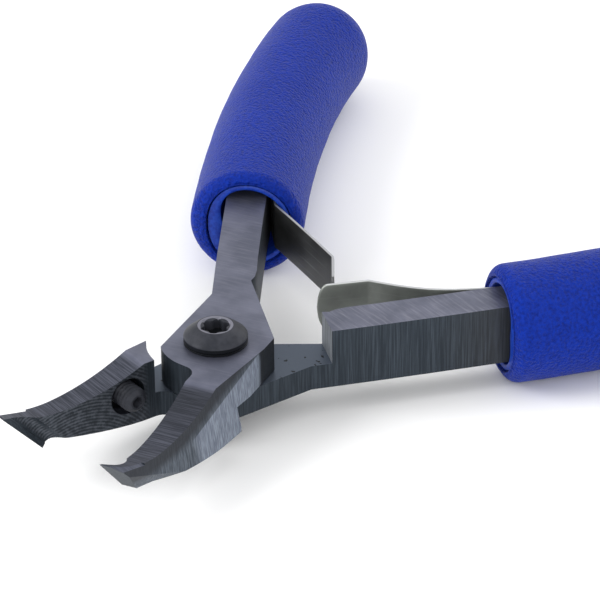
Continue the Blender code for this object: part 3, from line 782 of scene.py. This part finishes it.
def foam_profile(outer, groove, rim):
    """From the closed end of the bore, out over the rolled rim, to the round rear end."""
    back = GRIP_LENGTH
    bore = [(back - 4.0, 1.0), (back - 4.2, 5.0), (back - 5.0, groove)]
    bore += [(d, groove) for d in (50.0, 34.0, 20.0, 9.0, 4.0, 2.0)]
    inner_lip = 0.45
    turn = np.linspace(0, np.pi / 2, 6)
    lip = [(inner_lip - inner_lip * math.sin(a) + 0.25, groove + inner_lip * (1 - math.cos(a)))
           for a in turn]
    roll = [(0.25 + rim - rim * math.cos(a), outer - rim + rim * math.sin(a))
            for a in np.linspace(0.12, np.pi / 2, 12)]
    rear = 8.6
    body = [(d, outer) for d in np.linspace(rim + 1.2, back - rear, 70)]
    cap = [(back - rear + rear * math.sin(a), 0.02 + (outer - 0.02) * math.cos(a) ** 0.8)
           for a in np.linspace(0.08, np.pi / 2 - 0.02, 18)]
    return bore + lip + roll + body + cap


def liner_profile(outer, bore):
    """The inner sleeve: its bore, its narrow end ring and its outside."""
    back = GRIP_LENGTH - 6.5
    inside = [(back - 2.5, 1.0), (back - 3.0, bore * 0.8), (back - 4.0, bore)]
    inside += [(d, bore) for d in (50.0, 35.0, 20.0, 8.0, 2.0, 0.9)]
    ring = [(0.62, bore + 0.08), (0.5, bore + 0.3), (0.5, outer - 0.3), (0.62, outer - 0.08)]
    outside = [(d, outer) for d in (0.9, 2.0, 8.0, 20.0, 35.0, 50.0, back - 4.0)]
    return inside + ring + outside + [(back - 1.0, outer * 0.8), (back, 1.0)]


class PLIERS_OT_grips(bpy.types.Operator):
    """Foam grips with a rolled mouth, each round a smooth inner sleeve."""

    bl_idname = "pliers.grips"
    bl_label = "Grips"

    def execute(self, context):
        sizes, look = context.scene.pliers_sizes, context.scene.pliers_look
        foam, liner = foam_skin(look), liner_skin(look)
        foam_rows = foam_profile(sizes.foam_radius / MM, sizes.groove_radius / MM,
                                 sizes.rim_round / MM)
        liner_rows = liner_profile(sizes.liner_radius / MM, sizes.liner_bore / MM)
        for word in SIDES:
            name = f"foam_sleeve_{word}"
            grid = to_world(sleeve_grid(foam_rows, 120, 0.006), word)
            piece = new_piece(name, loops_to_mesh(name, grid), 60)
            put(piece, f"{word}_half", "grip_foam", foam, f"grip_foam_{word}")
            name = f"liner_sleeve_{word}"
            grid = to_world(sleeve_grid(liner_rows, 96, 0.0), word)
            piece = new_piece(name, loops_to_mesh(name, grid), 40)
            put(piece, f"{word}_half", "grip_liner", liner, f"grip_liner_{word}")
        return {"FINISHED"}


# ---------------------------------------------------------------- stage

CAMERA_AZIMUTH = math.radians(39.61)
CAMERA_ELEVATION = math.radians(29.85)
CAMERA_ROLL = math.radians(-0.59)
CAMERA_OFFSET = (12.3, 14.4, 477.0)    # along its own right, up and back, mm
CAMERA_LENS = 192.6


def add_camera():
    a, e = CAMERA_AZIMUTH, CAMERA_ELEVATION
    back = Vector((math.sin(a) * math.cos(e), -math.cos(a) * math.cos(e), math.sin(e)))
    right = Vector((math.cos(a), math.sin(a), 0.0))
    up = back.cross(right)
    c, s = math.cos(CAMERA_ROLL), math.sin(CAMERA_ROLL)
    right, up = right * c + up * s, up * c - right * s
    along_right, along_up, along_back = CAMERA_OFFSET
    place = (right * along_right + up * along_up + back * along_back) * MM
    turn = Matrix((right, up, back)).transposed().to_4x4()
    camera = bpy.data.objects.new("camera", bpy.data.cameras.new("camera"))
    camera.data.lens = CAMERA_LENS
    camera.data.sensor_width = 36.0
    camera.data.clip_start = 0.01
    camera.matrix_world = Matrix.Translation(place) @ turn
    bpy.context.scene.collection.objects.link(camera)
    bpy.context.scene.camera = camera


def add_light(name, place, size, power, aim=(0.0, 0.01, 0.0)):
    light = bpy.data.lights.new(name, "AREA")
    light.shape = "DISK"
    light.size = size
    light.energy = power
    lamp = bpy.data.objects.new(name, light)
    lamp.location = place
    lamp.rotation_euler = (Vector(place) - Vector(aim)).to_track_quat("Z", "Y").to_euler()
    bpy.context.scene.collection.objects.link(lamp)


LIGHTS = (                             # name, place and size in metres, watts
    ("key", (-0.55, -0.6, 0.6), 0.6, 6.5),
    ("fill", (0.55, -0.55, 0.35), 0.6, 2.5),
    ("back", (0.2, 0.75, 0.45), 0.8, 2.0),
)
SKY_STRENGTH = 0.92
FLOOR_DROP = 0.0001                    # metres below the tool's lowest point


class PLIERS_OT_stage(bpy.types.Operator):
    """Pale floor, soft studio light and the camera."""

    bl_idname = "pliers.stage"
    bl_label = "Stage"

    def execute(self, context):
        look = context.scene.pliers_look
        bpy.ops.mesh.primitive_plane_add(size=6.0, location=(0, 0, CAD_BOX[0][2] - FLOOR_DROP))
        floor = bpy.context.object
        floor.name = "floor"
        paint = Paint("pale_floor")
        shade = paint.noise(paint.place, 3.0, 2.0)
        pale = [channel * 0.985 for channel in look.floor]
        floor.data.materials.append(
            paint.finish(paint.mix(shade, look.floor, pale), 0.8))
        for name, place, size, power in LIGHTS:
            add_light(name, place, size, power)
        world = bpy.data.worlds.new("studio")
        world.use_nodes = True
        world.node_tree.nodes["Background"].inputs["Color"].default_value = (1, 1, 1, 1)
        world.node_tree.nodes["Background"].inputs["Strength"].default_value = SKY_STRENGTH
        context.scene.world = world
        context.scene.view_settings.view_transform = "Standard"
        add_camera()
        return {"FINISHED"}


OPERATORS = (PLIERS_OT_stage, PLIERS_OT_levers, PLIERS_OT_pivot, PLIERS_OT_stop,
             PLIERS_OT_springs, PLIERS_OT_grips)


class PLIERS_PT_panel(bpy.types.Panel):
    """Sidebar panel that lists the pieces and their settings."""

    bl_label = "Flush Cut Pliers"
    bl_idname = "PLIERS_PT_panel"
    bl_space_type = "VIEW_3D"
    bl_region_type = "UI"
    bl_category = "Pliers"

    def draw(self, context):
        for operator in OPERATORS:
            self.layout.operator(operator.bl_idname)
        for group in (context.scene.pliers_sizes, context.scene.pliers_look):
            box = self.layout.box()
            for name in group.__annotations__:
                box.prop(group, name)


CLASSES = (PliersLook, PliersSizes, *OPERATORS, PLIERS_PT_panel)


def register():
    for cls in CLASSES:
        bpy.utils.register_class(cls)
    bpy.types.Scene.pliers_look = PointerProperty(type=PliersLook)
    bpy.types.Scene.pliers_sizes = PointerProperty(type=PliersSizes)


def unregister():
    del bpy.types.Scene.pliers_sizes
    del bpy.types.Scene.pliers_look
    for cls in reversed(CLASSES):
        bpy.utils.unregister_class(cls)


def main():
    register()
    bpy.ops.pliers.stage()
    bpy.ops.pliers.levers()
    bpy.ops.pliers.pivot()
    bpy.ops.pliers.stop()
    bpy.ops.pliers.springs()
    bpy.ops.pliers.grips()


if __name__ == "__main__":
    main()
